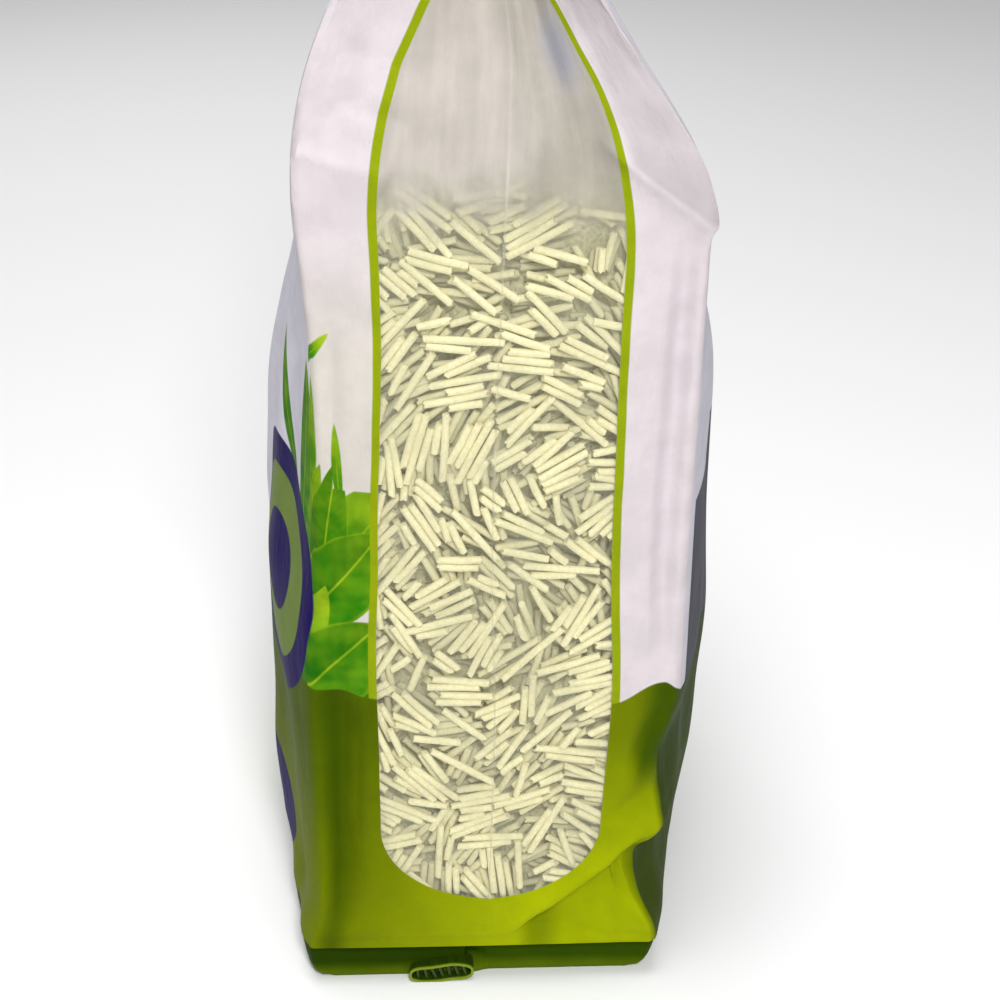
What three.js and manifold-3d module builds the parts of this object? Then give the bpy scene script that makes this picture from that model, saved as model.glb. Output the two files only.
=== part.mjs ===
// A filled, sealed, side-gusseted film bag of cat litter pellets, standing on its folded base.
// Millimetres, +Z up. The clear side panel faces -Y, the front panel -X and the back panel +X.
// The origin is on the floor, under the middle of the bag.
import * as THREE from 'three';
import { mergeVertices } from 'three/addons/utils/BufferGeometryUtils.js';
import Module from 'manifold-3d';

// Driving dimensions.
const WIDTH = 190; // front panel, from crease to crease, along Y
const DEPTH = 110; // side panel, from crease to crease, along X
const HEIGHT = 386; // floor to the top edge of the seal band
const SEAL_BAND = 12; // height of the flat seal at the top
const FILM = 0.8; // wall of the bag
const SLIT = 0.3; // gap between the two lips of the top seal
const FIT_GAP = 0.3; // between the film and the pellets
const FILL_HEIGHT = 254; // pellets, floor to the rim of their heap
const HEAP_RISE = 6; // the heap's middle above its rim
const BASE_RECESS = 4; // how far the folded base is set in behind each side panel
const BASE_CREASE = 14; // floor to the bottom crease of each side panel
const FIN_WIDTH = 20; // flattened end of the bottom fin seal, across
const FIN_HEIGHT = 6; // the same, floor to top
const FIN_REACH = 4; // the same, out from the base
const FIN_LAYER = 1.2; // thickness of its sealed layers
const FIN_OFFSET = -17; // middle of the fin's end along X: it is folded towards the front panel

// Segments of each ring.
const SIDE_STEPS = 8;
const FRONT_STEPS = 12;

const HALF_WIDTH = WIDTH / 2;
const HALF_DEPTH = DEPTH / 2;
const BASE_HALF_WIDTH = HALF_WIDTH - BASE_RECESS;
const SEAL_HALF = FILM + SLIT / 2;
const SEAL_START = HEIGHT - SEAL_BAND;

// The bag's outside, from the floor up. x and y place the corner creases, front and side are how far
// the middles of the panels stand out past the creases, and tuck is how far the gusset folds in.
const STATIONS = [
  { z: 0, x: 48, y: BASE_HALF_WIDTH, front: 5, side: 0, tuck: 0 },
  { z: 2, x: 52, y: BASE_HALF_WIDTH, front: 7, side: 0, tuck: 0 },
  { z: 9, x: 54.5, y: BASE_HALF_WIDTH, front: 9, side: 0, tuck: 0 },
  { z: BASE_CREASE, x: HALF_DEPTH, y: HALF_WIDTH, front: 10, side: 0.5, tuck: 0 },
  { z: 30, x: HALF_DEPTH, y: HALF_WIDTH, front: 13, side: 1.5, tuck: 0 },
  { z: 60, x: HALF_DEPTH, y: 94.5, front: 16, side: 2, tuck: 0 },
  { z: 100, x: HALF_DEPTH, y: 94, front: 17, side: 3, tuck: 0 },
  { z: 150, x: HALF_DEPTH, y: 93.5, front: 17, side: 3, tuck: 0 },
  { z: 200, x: HALF_DEPTH, y: 94, front: 14, side: 3, tuck: 0 },
  { z: 240, x: HALF_DEPTH, y: 94.5, front: 8, side: 2, tuck: 0 },
  { z: FILL_HEIGHT, x: HALF_DEPTH, y: 94.8, front: 5, side: 1, tuck: 0 },
  { z: 264, x: 54.5, y: HALF_WIDTH, front: 3, side: 0, tuck: 0 },
  { z: 290, x: 46.5, y: HALF_WIDTH, front: 1, side: 0, tuck: 10 },
  { z: 310, x: 36.5, y: HALF_WIDTH, front: 0, side: 0, tuck: 24 },
  { z: 335, x: 23.5, y: HALF_WIDTH, front: 0, side: 0, tuck: 38 },
  { z: 352, x: 14, y: HALF_WIDTH, front: 0, side: 0, tuck: 45 },
  { z: 366, x: 6, y: HALF_WIDTH, front: 0, side: 0, tuck: 20 },
  { z: SEAL_START, x: SEAL_HALF, y: HALF_WIDTH, front: 0, side: 0, tuck: 0 },
  { z: HEIGHT, x: SEAL_HALF, y: HALF_WIDTH, front: 0, side: 0, tuck: 0 },
];

// The outside a little above the floor, between the two lowest stations.
function stationNearFloor(z) {
  const [low, high] = STATIONS;
  const mix = (key) => THREE.MathUtils.lerp(low[key], high[key], z / high.z);
  return { z, x: mix('x'), y: mix('y'), front: mix('front'), side: mix('side'), tuck: mix('tuck') };
}

// The same section moved in by the thickness t. A tucked gusset leans, so it moves further along Y.
function inset(station, t) {
  const lean = station.tuck / station.x;
  const x = station.x - t;
  const y = station.y - t * Math.hypot(1, lean) - t * lean;
  return { ...station, x, y, tuck: (station.tuck * x) / station.x };
}

// One ring of points round the bag, counterclockwise from the -X -Y corner.
function ring({ z, x, y, front, side, tuck }) {
  const points = [];
  for (let i = 0; i < SIDE_STEPS; i += 1) {
    const u = (2 * i) / SIDE_STEPS - 1;
    points.push([u * x, -y - side * (1 - u * u) + tuck * (1 - Math.abs(u)), z]);
  }
  for (let i = 0; i < FRONT_STEPS; i += 1) {
    const v = (2 * i) / FRONT_STEPS - 1;
    points.push([x + front * (1 - v * v), v * y, z]);
  }
  return [...points, ...points.map(([px, py, pz]) => [-px, -py, pz])];
}

// A closed skin through a row of rings, with a flat cap on the first and on the last. Rising and falling
// rings are split along the same diagonals, so that an inner skin follows the outer one.
function loft(rings) {
  const count = rings[0].length;
  const index = [];
  for (let r = 1; r < rings.length; r += 1) {
    const rising = rings[r][0][2] >= rings[r - 1][0][2];
    for (let i = 0; i < count; i += 1) {
      const a = (r - 1) * count + i;
      const b = (r - 1) * count + ((i + 1) % count);
      const [c, d] = [a + count, b + count];
      index.push(...(rising ? [a, b, d, a, d, c] : [a, b, c, b, d, c]));
    }
  }
  const last = rings.length - 1;
  for (const [r, turned] of [[0, true], [last, false]]) {
    const outline = rings[r].map(([x, y]) => new THREE.Vector2(x, y));
    for (const face of THREE.ShapeUtils.triangulateShape(outline, [])) {
      const corners = turned ? [...face].reverse() : face;
      index.push(...corners.map((i) => r * count + i));
    }
  }
  const geometry = new THREE.BufferGeometry();
  geometry.setAttribute('position', new THREE.Float32BufferAttribute(rings.flat(2), 3));
  geometry.setIndex(index);
  return geometry;
}

// The film's outside up to the top edge, then over the lips and down the inside to the floor of the bag.
function bagShell() {
  const outside = STATIONS.map(ring);
  const inside = STATIONS.filter(({ z }) => z > FILM).map((station) => ring(inset(station, FILM)));
  const floor = ring(inset(stationNearFloor(FILM), FILM));
  return loft([...outside, ...inside.reverse(), floor]);
}

// A flat-sided oval of a width and height, standing on the X axis.
function flatOval(outline, width, height, bottom) {
  const radius = height / 2;
  const middle = bottom + radius;
  const reach = width / 2 - radius;
  outline.absarc(reach, middle, radius, -Math.PI / 2, Math.PI / 2, false);
  outline.absarc(-reach, middle, radius, Math.PI / 2, (3 * Math.PI) / 2, false);
  return outline;
}

// The end of the bottom fin seal: a flattened tube that is open at its tip.
function finEnd() {
  const outline = flatOval(new THREE.Shape(), FIN_WIDTH, FIN_HEIGHT, 0);
  const bore = flatOval(new THREE.Path(), FIN_WIDTH - 2 * FIN_LAYER, FIN_HEIGHT - 2 * FIN_LAYER, FIN_LAYER);
  outline.holes.push(bore);
  const depth = FIN_REACH + FILM / 2;
  const tube = new THREE.ExtrudeGeometry(outline, { depth, bevelEnabled: false, curveSegments: 8 });
  tube.rotateX(Math.PI / 2);
  tube.translate(FIN_OFFSET, -BASE_HALF_WIDTH + FILM / 2, 0);
  return tube;
}

// The pellets as one bulk that fills the bag up to a low heap.
function pelletBulk() {
  const clearance = FILM + FIT_GAP;
  const filled = STATIONS.filter(({ z }) => z > clearance && z <= FILL_HEIGHT);
  const wall = [stationNearFloor(clearance), ...filled].map((station) => inset(station, clearance));
  const rim = wall.at(-1);
  const shrink = (share, rise) => ({
    ...rim,
    z: rim.z + rise * HEAP_RISE,
    x: rim.x * share,
    y: rim.y * share,
    front: rim.front * share,
    side: rim.side * share,
  });
  return loft([...wall, shrink(0.8, 0.6), shrink(0.4, 1)].map(ring));
}

const wasm = await Module();
wasm.setup();

function toSolid(geometry) {
  const bare = geometry.clone();
  bare.deleteAttribute('normal');
  bare.deleteAttribute('uv');
  const merged = mergeVertices(bare);
  return new wasm.Manifold(new wasm.Mesh({
    numProp: 3,
    vertProperties: new Float32Array(merged.attributes.position.array),
    triVerts: new Uint32Array(merged.index.array),
  }));
}

function toGeometry(solid) {
  const mesh = solid.getMesh();
  const geometry = new THREE.BufferGeometry();
  geometry.setAttribute('position', new THREE.BufferAttribute(mesh.vertProperties, mesh.numProp));
  geometry.setIndex(new THREE.BufferAttribute(mesh.triVerts, 1));
  geometry.computeVertexNormals();
  return geometry;
}

// The whole film: the bag, with its fin seal coming out at both ends of the base.
function filmBag() {
  const nearEnd = toSolid(finEnd());
  const farEnd = nearEnd.mirror([0, 1, 0]);
  return toGeometry(toSolid(bagShell()).add(nearEnd).add(farEnd));
}

function named(name, geometry, finish) {
  const mesh = new THREE.Mesh(geometry, new THREE.MeshStandardMaterial(finish));
  mesh.name = name;
  return mesh;
}

const bag = new THREE.Group();
bag.add(named('film_bag', filmBag(), { color: 0xe8e2e6, roughness: 0.35, metalness: 0 }));
bag.add(named('litter_pellets', pelletBulk(), { color: 0xe2e0b4, roughness: 0.9, metalness: 0 }));

export default bag;
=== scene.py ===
import math

import bpy
import numpy as np
from bpy.props import FloatProperty, FloatVectorProperty, IntProperty, PointerProperty
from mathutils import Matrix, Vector


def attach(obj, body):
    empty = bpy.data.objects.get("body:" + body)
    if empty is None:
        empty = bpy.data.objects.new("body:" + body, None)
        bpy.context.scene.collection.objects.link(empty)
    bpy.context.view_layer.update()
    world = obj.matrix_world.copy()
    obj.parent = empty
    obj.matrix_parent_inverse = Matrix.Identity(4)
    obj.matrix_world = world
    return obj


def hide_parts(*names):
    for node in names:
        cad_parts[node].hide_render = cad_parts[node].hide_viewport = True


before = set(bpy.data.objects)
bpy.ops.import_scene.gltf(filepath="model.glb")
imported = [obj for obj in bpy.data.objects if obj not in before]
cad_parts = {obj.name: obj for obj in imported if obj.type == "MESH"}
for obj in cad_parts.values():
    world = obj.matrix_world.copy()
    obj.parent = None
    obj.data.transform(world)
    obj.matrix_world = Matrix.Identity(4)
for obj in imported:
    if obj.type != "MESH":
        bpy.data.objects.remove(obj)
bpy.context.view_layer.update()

bl_info = {
    "name": "Side Gusset Pellet Bag",
    "version": (1, 0, 0),
    "blender": (4, 5, 0),
    "location": "3D View > Sidebar > Bag",
    "description": "Builds a film bag of litter pellets with a clear side window",
    "category": "Object",
}

MM = 0.001

# The bag's shape in millimetres: a height, then the value at that height. The NEAR tables place the
# two creases and the middle of the near side panel, and CORNER_NOTCH dents its right crease.
NEAR_LEFT = (
    (0, -53.5), (1.5, -56.8), (4, -58.8), (8, -59.6), (15, -59.8), (29, -56), (43, -55), (62, -55),
    (85, -55), (112, -55), (132, -54), (147, -52), (175, -50.5), (222, -50), (242, -51.5), (263, -53),
    (277, -52), (291, -49), (311, -41.5), (336, -28), (353, -19), (367, -12), (374, -8),
)
NEAR_RIGHT = (
    (0, 44), (1.5, 47.2), (4, 49.2), (8, 50.2), (15, 50.8), (29, 50), (43, 51), (60, 52.3), (85, 54),
    (112, 55.7), (132, 55.2), (162, 54.8), (190, 55.2), (222, 56), (245, 56.8), (263, 57.2), (277, 52),
    (291, 43.4), (311, 29.6), (336, 15), (353, 5.5), (367, -2), (374, -6.1),
)
NEAR_MIDDLE = (
    (0, -3), (15, -2.6), (65, -0.8), (112, 0.2), (142, -0.4), (170, -0.4), (192, 0.4), (235, 2.2),
    (263, 3.6), (282, 4.6), (300, 5), (311, 4), (336, -0.5), (353, -5), (374, -7.05),
)
CORNER_NOTCH = (
    (0, 0), (22, 0), (36, -5.5), (44, -7.6), (50, -7.2), (54, -3), (57.5, -0.4), (66, -1.2), (77, -3.6),
    (86, -4.2), (94, -2.4), (103, -0.6), (118, 0), (386, 0),
)
FAR_HALF_DEPTH = (
    (0, 49), (5, 53.5), (15, 55), (60, 55), (150, 55), (212, 53.5), (240, 49.5), (264, 43.5), (278, 39.5),
    (291, 35.5), (311, 27.5), (336, 17.5), (353, 10.5), (367, 5), (374, 0.95),
)
FAR_SWAY = ((0, 0), (270, 0), (311, -4), (350, -6.5), (374, -7.05))
HALF_WIDTH = ((0, 91), (15, 94.8), (60, 94.3), (150, 93.2), (220, 93.8), (264, 94.8), (386, 95))
FRONT_BULGE = (
    (0, 8), (5, 10), (15, 11), (30, 14), (50, 17), (84, 17.5), (110, 18.5), (150, 18.5), (200, 14),
    (230, 7), (264, 0.5), (290, 0), (374, 0),
)
BACK_BULGE = (
    (0, 7), (5, 9.5), (15, 11.5), (30, 13), (60, 16), (84, 16), (110, 16), (150, 16), (200, 12),
    (230, 5), (264, 0), (374, 0),
)
SIDE_BULGE = (
    (0, 0), (15, 0.3), (40, 1.6), (100, 2.6), (180, 2.8), (230, 1.8), (262, 0.2), (290, 0), (386, 0),
)
TUCK = (
    (0, 0), (256, 0), (270, 1.5), (291, 8), (311, 20), (336, 36), (353, 45), (365, 49), (371, 40), (374, 0),
)

PANEL_DEPTH = 110.0
PANEL_WIDTH = 190.0
BASE_CREASE = 15.5
SHOULDER = 264.0
FLAP_EDGE = -6.0
SEAL_START = 374.0
BAG_TOP = 386.0

# Columns round the bag, one number for each panel.
NEAR_COLUMNS = 116
WIDE_COLUMNS = 64
FAR_COLUMNS = 40

# The print, in millimetres on the unfolded film: u round the bag from the middle of the near side
# panel, v up it from the floor.
WINDOW_HALF = 35.6
WINDOW_TOP_HALF = 34.2
WINDOW_LOW = 62.0
WINDOW_HIGH = 268.0
WINDOW_FLATTEN = 1.35
WINDOW_STRETCH = 0.48
WINDOW_PULL = 2.6
WINDOW_PULL_HEIGHT = 272.0
WINDOW_LINE = 2.7
BAND_TOP = 107.2
SEAL_CENTRE = (-92.0, 137.0)
LABEL_CENTRE = (-115.0, 40.0)
LABEL_RADIUS = 24.0
SLATE_CENTRE = (150.0, 135.0)
SLATE_HALF = (88.0, 35.0)

# The diagonal fold of the buckled corner runs down to the left.
FOLD_START = (51.0, 56.5)
FOLD_END = (5.8, 18.7)

# Valleys beside the corner folds of the near side panel, which leave the corner standing as a thin tube:
# depth, middle, reach, and the heights between which each one comes in and fades out.
VALLEYS = (
    (3.4, -45.5, 7.5, 18, 36, 100, 128),
    (2.6, 48.5, 4.0, 112, 150, 235, 262),
    (0.8, -49, 5, 130, 170, 225, 250),
)

# Fold lines of the near side panel: start, end, height and width, and for some their lean and fade.
CREASES = (
    # Beside the corner folds.
    ((50.5, 245), (50.5, 116), -1.5, 1.7),
    ((-46.5, 106), (-48.5, 20), -1.5, 1.8),
    ((-40, 104), (-42.5, 60), -0.9, 2.2, 0.5),
    # Short puckers above the buckled corner.
    ((54, 76), (34, 64), -1.3, 3.0, 0.4),
    ((52, 86), (38, 80), 0.7, 3.5),
    ((50, 105), (43, 80), -1.5, 3.0, -0.4),
    # Diagonal folds under the shoulders, where the gusset starts to tuck in.
    ((58, 252), (26, 279), 3.0, 4.0, -0.5, 0.24),
    ((-55, 277), (-30, 269), 2.0, 5.0, -0.3, 0.08),
    ((-50, 290), (-20, 262), -0.7, 6.0),
    ((-48, 306), (-24, 297), -1.7, 3.0, 0.4),
    ((-46, 291), (-26, 283), -1.3, 3.0, 0.4),
    # Long soft folds of the empty film above the pellets.
    ((-20, 262), (-9, 330), -1.3, 6.0, 0.4),
    ((9, 262), (4, 330), 1.0, 5.0),
    ((24, 262), (12, 325), -1.4, 7.0, -0.3),
)

# The fold that rises from the right shoulder towards the window, above which the film has painted shade: v +
# FLANK_SLOPE * u on its line.
FLANK_SLOPE = 0.86
FLANK_FOLD = 302.0

# The pellets that show: the part of the panel that they fill, how deep they lie, their gap to the film.
PELLETS_LOW = 31.0
PELLETS_HIGH = 267.0
PELLETS_HALF = 39.0
PELLETS_DEEPEST = 6.5
FILM_GAP = 0.8

# The flattened ends of the bottom seal.
FIN_WIDTH = 20.0
FIN_HEIGHT = 6.0
FIN_REACH = 6.0
FIN_WALL = 0.8
FIN_TILT = 0.09
FIN_LIFT = 0.4
FIN_RIBS = 7


def hermite(table, z):
    """A smooth curve through the table's points, read at the heights z."""
    heights, values = np.array(table, float).T
    slopes = np.gradient(values, heights)
    z = np.clip(z, heights[0], heights[-1])
    i = np.clip(np.searchsorted(heights, z, side="right") - 1, 0, len(heights) - 2)
    span = heights[i + 1] - heights[i]
    t = (z - heights[i]) / span
    rise = t * t * (3 - 2 * t)
    return (
        values[i] * (1 - rise)
        + values[i + 1] * rise
        + span * slopes[i] * t * (1 - t) ** 2
        - span * slopes[i + 1] * t * t * (1 - t)
    )


def smooth_step(low, high, x):
    t = np.clip((x - low) / (high - low), 0, 1)
    return t * t * (3 - 2 * t)


def between(x, low, full, fading, gone):
    """0 below low, 1 from full to fading and 0 again past gone."""
    return smooth_step(low, full, x) * (1 - smooth_step(fading, gone, x))


def swell(x, middle, reach):
    """1 at the middle, falling smoothly to 0 at the reach on either side."""
    return 1 - smooth_step(0, reach, np.abs(x - middle))


def ripples(u, v, seed, wave, count=9, stretch=1.0):
    """Smooth noise of about unit size: plane waves that all run their own way."""
    rng = np.random.default_rng(seed)
    total = np.zeros_like(u)
    for _ in range(count):
        angle = rng.uniform(0, 2 * math.pi)
        length = wave * rng.uniform(0.6, 1.7)
        phase = rng.uniform(0, 2 * math.pi)
        across = np.cos(angle) * u + np.sin(angle) * v / stretch
        total += np.sin(2 * math.pi * across / length + phase)
    return total / math.sqrt(count)


def line_place(u, v, start, end):
    """Where places lie by a line: how far along it, from 0 to 1, and how far to its left."""
    run_u, run_v = end[0] - start[0], end[1] - start[1]
    length = math.dist(start, end)
    du, dv = u - start[0], v - start[1]
    return (du * run_u + dv * run_v) / length**2, (dv * run_u - du * run_v) / length


def crease(u, v, start, end, depth, width, lean=0.0, fade=0.25):
    """A fold line: its height is depth on the line and falls off over the width, fast at first.

    lean makes one side of the line fall off slower than the other."""
    along, across = line_place(u, v, start, end)
    side_width = width * np.where(across > 0, 1 + lean, 1 - lean)
    profile = np.exp(-(np.sqrt(across**2 + 0.9) - 0.95) / side_width)
    return depth * profile * between(along, -fade * 0.4, fade, 1 - fade, 1 + fade * 0.4)


def row_heights():
    """Heights of the rings: close together at the base, the shoulder's tuck and the seal."""
    base = [0, 0.7, 1.8, 3.2, 5, 7, 9, 11, 13, 14.3, 14.9, 15.3, 15.7, 16.4, 17.6]
    body = list(np.arange(18.8, 112, 1.1)) + list(np.arange(113, 236, 2.0))
    body += list(np.arange(236, 286, 1.25)) + list(np.arange(286, SEAL_START - 2.2, 2.0))
    neck = [SEAL_START - 2.0, SEAL_START - 1.0]
    band = list(np.linspace(SEAL_START, BAG_TOP, 25))
    return np.array(base + body + neck + band)


def near_width(z):
    """Half width at the near side panel, whose folded base is set in behind its bottom crease."""
    recess = 3.2 * (1 - smooth_step(BASE_CREASE - 1.2, BASE_CREASE - 0.2, z))
    recess = recess + 1.4 * (1 - smooth_step(0, 2.6, z))
    return np.where(z < BASE_CREASE + 4, 95.0 - recess, hermite(HALF_WIDTH, z))


def base_flaps(f, z):
    """How much deeper the folded flaps lie under the near panel: a left flap over a right one."""
    under = 1 - smooth_step(BASE_CREASE - 1.6, BASE_CREASE - 0.3, z)
    x = f * PANEL_DEPTH / 2
    left_flap = 2.0 * (z / BASE_CREASE) * smooth_step(-52, -40, x)
    pocket = 5.0 * smooth_step(FLAP_EDGE - 0.6, FLAP_EDGE + 0.4, x) * (1 - smooth_step(-3, 7, x + 0.5 * z))
    pocket = pocket * smooth_step(2, 8, z)
    right_flap = 1.6 * smooth_step(FLAP_EDGE, FLAP_EDGE + 8, x)
    return under * (left_flap * (x < FLAP_EDGE) + pocket + right_flap)


def rings(z):
    """Smooth outside of the bag: one ring of points for each height, with its film coordinates."""
    z = np.asarray(z, float)[:, None]
    f = np.linspace(-1, 1, NEAR_COLUMNS + 1)[None, :]
    far_f = np.linspace(-1, 1, FAR_COLUMNS + 1)[None, :]
    g = np.linspace(-1, 1, WIDE_COLUMNS + 1)[None, :]
    left, right = hermite(NEAR_LEFT, z), hermite(NEAR_RIGHT, z)
    far_middle, far_half = hermite(FAR_SWAY, z), hermite(FAR_HALF_DEPTH, z)
    side, tuck = hermite(SIDE_BULGE, z), np.where(z >= SEAL_START, 0, hermite(TUCK, z))
    front, back = hermite(FRONT_BULGE, z), hermite(BACK_BULGE, z)
    near_y = near_width(z)
    far_y = hermite(HALF_WIDTH, z)
    fold = tuck * (1 - np.sqrt(f * f + 0.004))
    middle, notch = hermite(NEAR_MIDDLE, z), hermite(CORNER_NOTCH, z)
    lean = np.abs(f) ** (2 - smooth_step(SHOULDER, 300, z))
    near_x = middle + f * (right - left) / 2 + lean * ((left + right) / 2 - middle)
    near_x = near_x + notch * smooth_step(0.7, 1, f)
    near_line = -near_y - side * (1 - f * f) + fold + base_flaps(f, z)
    near_line = near_line - 0.35 * notch * smooth_step(0.8, 1, f)
    far_fold = tuck * (1 - np.sqrt(far_f * far_f + 0.004))
    far_x, far_line = far_middle + far_half * far_f, far_y + side * (1 - far_f * far_f) - far_fold
    crown = 1 - g * g
    blend = (g + 1) / 2
    y = np.where(g < 0, near_y * g, far_y * g)
    back_y = y - 0.35 * notch * (1 - smooth_step(0, 0.12, blend))
    back_x = right + (far_middle + far_half - right) * blend + back * crown
    back_x = back_x + notch * (1 - smooth_step(0, 0.3, blend))
    front_x = left + (far_middle - far_half - left) * blend - front * crown
    parts = (
        (near_x, near_line, f * PANEL_DEPTH / 2),
        (back_x, back_y, PANEL_DEPTH / 2 + blend * PANEL_WIDTH),
        (far_x[:, ::-1], far_line[:, ::-1], PANEL_DEPTH / 2 + PANEL_WIDTH + (far_f + 1) / 2 * PANEL_DEPTH),
        (front_x[:, ::-1], y[:, ::-1], -PANEL_DEPTH / 2 - PANEL_WIDTH + blend * PANEL_WIDTH),
    )
    x, y, u = (
        np.hstack([np.broadcast_to(part[k], (len(z), part[k].shape[1]))[:, :-1] for part in parts])
        for k in range(3)
    )
    return np.stack([x, y, np.broadcast_to(z, x.shape)], -1), u


def film_height(z):
    """Height along the film, which is longer than the height above the floor where the bag narrows."""
    fine = np.linspace(0, BAG_TOP, 400)
    half = (hermite(NEAR_RIGHT, fine) - hermite(NEAR_LEFT, fine)) / 2
    steps = np.hypot(np.diff(fine), np.diff(half) * (fine[1:] > SHOULDER - 10))
    return np.interp(z, fine, np.concatenate([[0], np.cumsum(steps)]))


def soften_corners(points, corners, passes=3):
    """Rounds the four fold lines of the film to a small radius."""
    count = points.shape[1]
    weight = np.zeros(count)
    for corner in corners:
        for offset, share in ((0, 0.8), (1, 0.7), (2, 0.4), (3, 0.15)):
            weight[(corner + offset) % count] = share
            weight[(corner - offset) % count] = share
    for _ in range(passes):
        middle = (np.roll(points, 1, axis=1) + np.roll(points, -1, axis=1)) / 2
        points = points + weight[None, :, None] * (middle - points)
    return points


def outward(points):
    """Unit normals of the grid of rings."""
    around = np.roll(points, -1, axis=1) - np.roll(points, 1, axis=1)
    up = np.gradient(points, axis=0)
    normal = np.cross(around, up)
    return normal / np.maximum(np.linalg.norm(normal, axis=-1, keepdims=True), 1e-9)


def near_panel_folds(u, v):
    """Folds, dents and ridges of the near side panel, in millimetres outward."""
    d = np.zeros_like(u)
    for depth, middle, reach, *heights in VALLEYS:
        d -= depth * swell(u, middle, reach) * between(v, *heights)
    for line in CREASES:
        d += crease(u, v, *line)
    # The lower right corner has buckled: a three-cornered facet sinks behind a diagonal fold.
    along, across = line_place(u, v, FOLD_START, FOLD_END)
    in_fold = between(along, -0.02, 0.12, 0.8, 1.0) * smooth_step(BASE_CREASE + 0.5, BASE_CREASE + 5, v)
    d -= 4.2 * in_fold * between(across, -1.0, 1.8, 2.2, 30)
    d += 1.2 * in_fold * np.exp(-np.abs(across + 2.2) / 3.0)
    d -= 1.4 * in_fold * swell(u, 18, 10) * swell(v, 23, 9)
    # The pressed centre line of the gusset.
    d += 0.35 * np.exp(-np.abs(u) / 0.9) * smooth_step(17, 24, v)
    return d


def film_relief(u, v, z):
    """Everything that stands out from the bag's smooth shape, in millimetres outward."""
    near = np.abs(u) < PANEL_DEPTH / 2
    body = smooth_step(16, 30, v) * (1 - smooth_step(SEAL_START - 14, SEAL_START - 2, z))
    across = np.minimum(np.abs(u - 150), np.abs(u + 150))
    wide = 1 - smooth_step(60, 92, across)
    d = body * wide * (0.9 * ripples(u, v, 3, 60, stretch=1.6) + 0.35 * ripples(u, v, 4, 22, stretch=2.0))
    d += np.where(near, body * 0.28 * ripples(u, v, 5, 26), 0)
    d += np.where(near, near_panel_folds(u, v), 0)
    # Stress folds running down from the top seal and up from the base on the wide panels.
    top = smooth_step(SHOULDER - 20, SHOULDER + 60, v) * (1 - smooth_step(SEAL_START - 12, SEAL_START - 1, z))
    d += np.where(near, 0, top * 0.9 * ripples(u, v, 6, 26, stretch=7.0))
    d += np.where(near, 0, between(v, 4, 16, 20, 70) * 0.7 * ripples(u, v, 7, 24, stretch=4.0))
    # Ribs pressed into the seal band.
    band = between(z, SEAL_START + 0.6, SEAL_START + 1.4, BAG_TOP - 1.2, BAG_TOP - 0.4)
    d += band * 0.32 * np.sin(2 * math.pi * (z - SEAL_START) / 2.4)
    return d


def film_grid():
    """The finished film: points in millimetres and film coordinates, by ring and column."""
    z = row_heights()
    points, u = rings(z)
    far_start = NEAR_COLUMNS + WIDE_COLUMNS
    corners = (0, NEAR_COLUMNS, far_start, far_start + FAR_COLUMNS)
    body = z < SEAL_START - 3
    points[body] = soften_corners(points[body], corners)
    v = np.broadcast_to(film_height(z)[:, None], u.shape)
    height = np.broadcast_to(z[:, None], u.shape)
    points = points + outward(points) * film_relief(u, v, height)[..., None]
    points[..., 2] = np.clip(points[..., 2], 0, BAG_TOP)
    return points, u, v


def ring_faces(rows, count):
    """Four-cornered faces between rings of points that follow one another."""
    faces = []
    for r in range(rows - 1):
        for c in range(count):
            a, b = r * count + c, r * count + (c + 1) % count
            faces.append((a, b, b + count, a + count))
    return faces


def closed_skin(points):
    """Faces through the rings, a fan of rings under the base and a strip along the seal's top edge."""
    rows, count = points.shape[:2]
    vertices = [points.reshape(-1, 3)]
    faces = ring_faces(rows, count)
    middle = points[0].mean(axis=0)
    start = rows * count
    below = list(range(count))
    for share in (0.93, 0.8, 0.55, 0.25):
        ring = middle + (points[0] - middle) * share
        vertices.append(ring)
        inner = list(range(start, start + count))
        for c in range(count):
            d = (c + 1) % count
            faces.append((below[d], below[c], inner[c], inner[d]))
        below, start = inner, start + count
    vertices.append(middle[None, :])
    for c in range(count):
        faces.append((below[(c + 1) % count], below[c], start))
    top = (rows - 1) * count
    near = NEAR_COLUMNS // 2
    order = [top + (near + i) % count for i in range(count)]
    for i in range(count // 2):
        a, b = order[i], order[i + 1]
        c, d = order[-(i + 1)], order[-i] if i else order[0]
        faces.append((a, b, c) if i == 0 else (a, b, c, d) if b != c else (a, b, d))
    return np.vstack(vertices) * MM, faces


def add_mesh(name, vertices, faces):
    mesh = bpy.data.meshes.new(name)
    mesh.from_pydata([tuple(p) for p in vertices], [], faces)
    mesh.validate()
    mesh.update()
    piece = bpy.data.objects.new(name, mesh)
    bpy.context.collection.objects.link(piece)
    return piece


def select_only(piece):
    bpy.ops.object.select_all(action="DESELECT")
    piece.select_set(True)
    bpy.context.view_layer.objects.active = piece


def smooth_by_angle(piece, degrees):
    select_only(piece)
    bpy.ops.object.shade_smooth_by_angle(angle=math.radians(degrees))


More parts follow.
